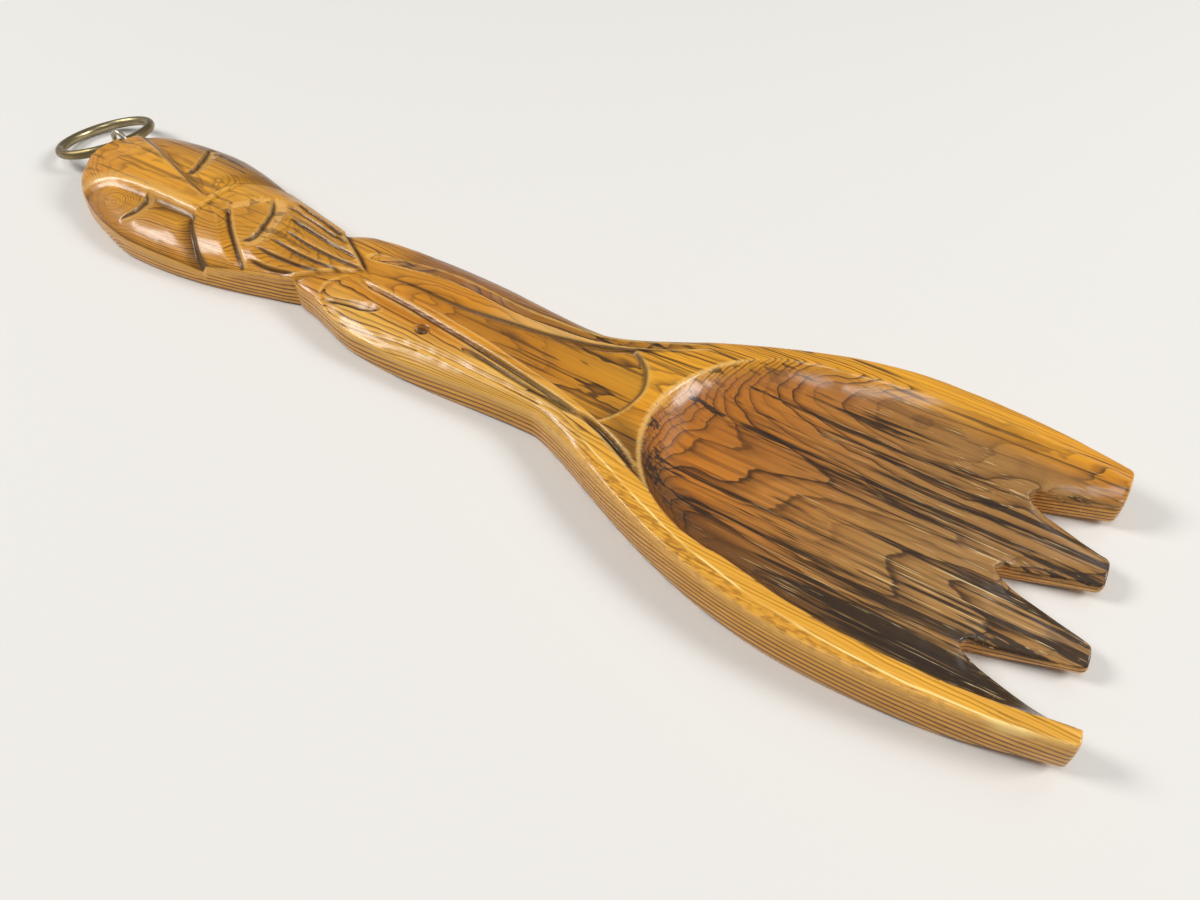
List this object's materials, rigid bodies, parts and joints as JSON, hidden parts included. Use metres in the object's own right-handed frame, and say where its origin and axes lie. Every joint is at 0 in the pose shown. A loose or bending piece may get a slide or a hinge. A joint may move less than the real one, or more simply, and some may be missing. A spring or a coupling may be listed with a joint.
{
  "type": "wall fork",
  "caption": "Carved wooden wall fork: bearded mask head, panelled handle, hollowed bowl running into blunt tines, and a brass hanging ring that swings in a screw eye.",
  "frame": {"origin": "on the flat back, on the board's centre line, half way along the board", "axes": "+Z out of the carved face, +Y from the tines towards the head and the ring, +X across the board"},
  "size_m": [0.136, 0.5427, 0.022],
  "materials": {
    "lacquered_wood": "glossy lacquer over stained, carved wood with dark grain",
    "eye_brass": "dull plated wire",
    "ring_brass": "aged, lightly polished"
  },
  "bodies": {
    "fork": {"fork_body": "lacquered_wood", "screw_eye": "eye_brass"},
    "ring": {"hanging_ring": "ring_brass"}
  },
  "joints": [
    {"name": "ring_swing", "type": "hinge", "parent": "fork", "child": "ring", "pos_m": [0.014, 0.2472, 0.014], "axis": [0.9781, -0.2079, 0], "range_deg": [-100, 140]}
  ]
}
